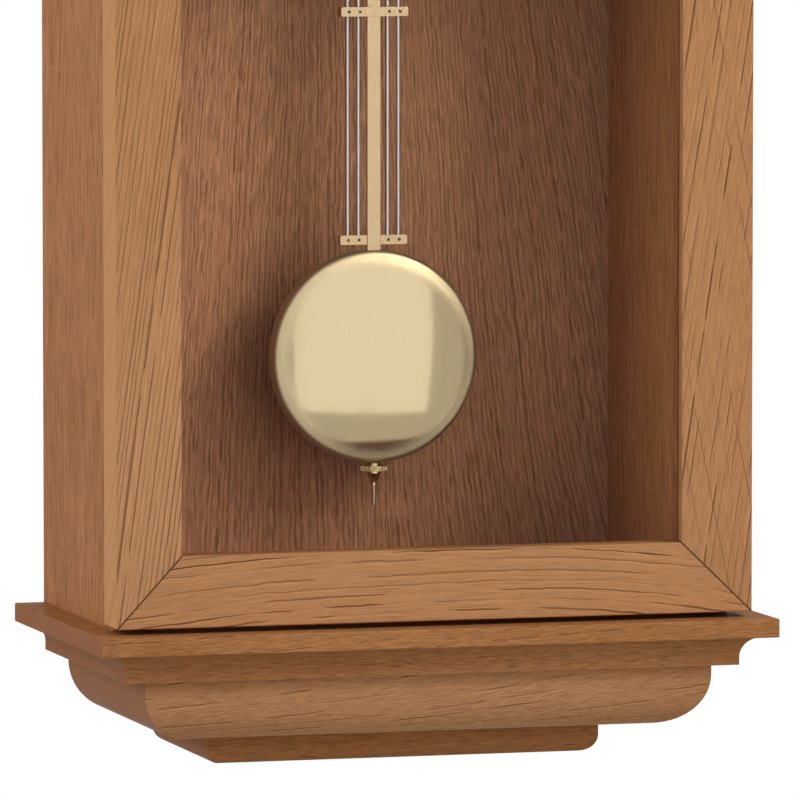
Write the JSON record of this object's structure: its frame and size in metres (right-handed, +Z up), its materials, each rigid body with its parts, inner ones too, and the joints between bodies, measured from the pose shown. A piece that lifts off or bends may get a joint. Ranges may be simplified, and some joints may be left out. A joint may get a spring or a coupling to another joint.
{
  "type": "pendulum wall clock",
  "caption": "Oak wall clock with a glazed hinged door, stepped base and crown, dial with hands, spring-driven wheel train and a lyre pendulum with a domed brass bob.",
  "frame": {"origin": "centre of the hanger plate's keyhole on the wall plane", "axes": "+Z up, +Y out of the back into the wall, +X to the viewer's right, the dial faces -Y"},
  "size_m": [0.3404, 0.1782, 0.7327],
  "materials": {
    "oak": "satin oak",
    "oak_panel": "satin oak veneer",
    "brass": "satin",
    "steel": "satin",
    "cast_weight": "rough",
    "dial": "satin",
    "black": "satin",
    "glass": "clear"
  },
  "bodies": {
    "case": {"side_panel_left": "oak", "side_panel_right": "oak", "back_panel": "oak_panel", "back_screws": "steel", "hanger_plate": "steel", "door_magnet": "steel", "base_slab": "oak", "base_cove": "oak", "base_ovolo": "oak", "base_foot": "oak", "crown_slab": "oak", "crown_cove": "oak", "crown_cap": "oak", "hinge_case_leaves": "brass", "hinge_pins": "steel", "seat_board": "oak", "seat_cleats": "oak", "seat_bolts": "steel", "front_plate": "brass", "back_plate": "brass", "pillars": "brass", "movement_screws": "steel", "suspension_cock": "brass", "dial_plate": "dial", "dial_bezel": "brass", "click_spring": "steel"},
    "door": {"door_stile_left": "oak", "door_stile_right": "oak", "door_rail_bottom": "oak", "door_rail_top": "oak", "door_glass": "glass", "glass_beads": "oak", "door_knob": "brass", "door_strike_plate": "steel", "hinge_door_leaves": "brass"},
    "pendulum": {"suspension_spring": "steel", "pendulum_rod": "brass", "lyre_bars": "brass", "lyre_rods": "steel"},
    "bob": {"bob_shell": "brass", "bob_weight": "cast_weight"},
    "rating_nut": {"rating_nut": "brass"},
    "anchor": {"anchor": "steel", "crutch": "brass"},
    "centre": {"centre_arbor": "brass", "cannon_pinion": "brass", "minute_hand": "black", "hand_nut": "brass"},
    "hour": {"hour_wheel": "brass", "hour_hand": "black"},
    "minute_wheel": {"minute_wheel": "brass"},
    "third": {"third_arbor": "brass"},
    "escape": {"escape_arbor": "brass"},
    "intermediate": {"intermediate_arbor": "brass"},
    "barrel": {"barrel_drum": "brass", "barrel_cap": "brass", "mainspring": "steel"},
    "winding": {"barrel_arbor": "steel", "ratchet_wheel": "steel"},
    "click": {"click": "steel"}
  },
  "joints": [
    {"name": "door_swing", "type": "hinge", "parent": "case", "child": "door", "pos_m": [0.1625, -0.1405, 0], "axis": [0, 0, 1], "range_deg": [0, 105]},
    {"name": "pendulum_swing", "type": "hinge", "parent": "case", "child": "pendulum", "pos_m": [0, -0.052, -0.07071], "axis": [0, 1, 0], "range_deg": [-3, 3]},
    {"name": "anchor_rock", "type": "hinge", "parent": "case", "child": "anchor", "pos_m": [0, -0.0905, -0.07071], "axis": [0, 1, 0], "range_deg": [-3, 3]},
    {"name": "bob_rating", "type": "slide", "parent": "pendulum", "child": "bob", "axis": [0, 0, 1], "range_m": [-0.004, 0.001]},
    {"name": "nut_turn", "type": "hinge", "parent": "bob", "child": "rating_nut", "pos_m": [0, -0.052, -0.5128], "axis": [0, 0, 1], "range_deg": [-2100, 560]},
    {"name": "hand_turn", "type": "hinge", "parent": "case", "child": "centre", "pos_m": [0, -0.0905, -0.123], "axis": [0, 1, 0], "continuous": true},
    {"name": "hour_turn", "type": "hinge", "parent": "case", "child": "hour", "pos_m": [0, -0.0905, -0.123], "axis": [0, 1, 0], "continuous": true},
    {"name": "minute_wheel_turn", "type": "hinge", "parent": "case", "child": "minute_wheel", "pos_m": [-0.01018, -0.0905, -0.11282], "axis": [0, 1, 0], "continuous": true},
    {"name": "third_turn", "type": "hinge", "parent": "case", "child": "third", "pos_m": [0.0182, -0.0905, -0.10736], "axis": [0, 1, 0], "continuous": true},
    {"name": "escape_turn", "type": "hinge", "parent": "case", "child": "escape", "pos_m": [0, -0.0905, -0.095], "axis": [0, 1, 0], "continuous": true},
    {"name": "intermediate_turn", "type": "hinge", "parent": "case", "child": "intermediate", "pos_m": [-0.0198, -0.0905, -0.1428], "axis": [0, 1, 0], "continuous": true},
    {"name": "barrel_turn", "type": "hinge", "parent": "case", "child": "barrel", "pos_m": [0, -0.0905, -0.17813], "axis": [0, 1, 0], "continuous": true},
    {"name": "winding_turn", "type": "hinge", "parent": "case", "child": "winding", "pos_m": [0, -0.0905, -0.17813], "axis": [0, 1, 0], "continuous": true},
    {"name": "click_lift", "type": "hinge", "parent": "case", "child": "click", "pos_m": [0.01113, -0.115, -0.15939], "axis": [0, -1, 0], "range_deg": [0, 12], "stiffness_Nm_per_rad": 0.02, "springref_deg": -11.46, "deforming": ["click_spring"]}
  ],
  "couplings": [
    {"joint": "anchor_rock", "follows": "pendulum_swing", "ratio": 1},
    {"joint": "nut_turn", "follows": "bob_rating", "rad_per_m": 8976},
    {"joint": "hour_turn", "follows": "hand_turn", "ratio": 0.083333},
    {"joint": "minute_wheel_turn", "follows": "hand_turn", "ratio": -0.33333},
    {"joint": "third_turn", "follows": "hand_turn", "ratio": -9},
    {"joint": "escape_turn", "follows": "hand_turn", "ratio": 90},
    {"joint": "intermediate_turn", "follows": "hand_turn", "ratio": -0.11111},
    {"joint": "barrel_turn", "follows": "hand_turn", "ratio": 0.013889}
  ]
}
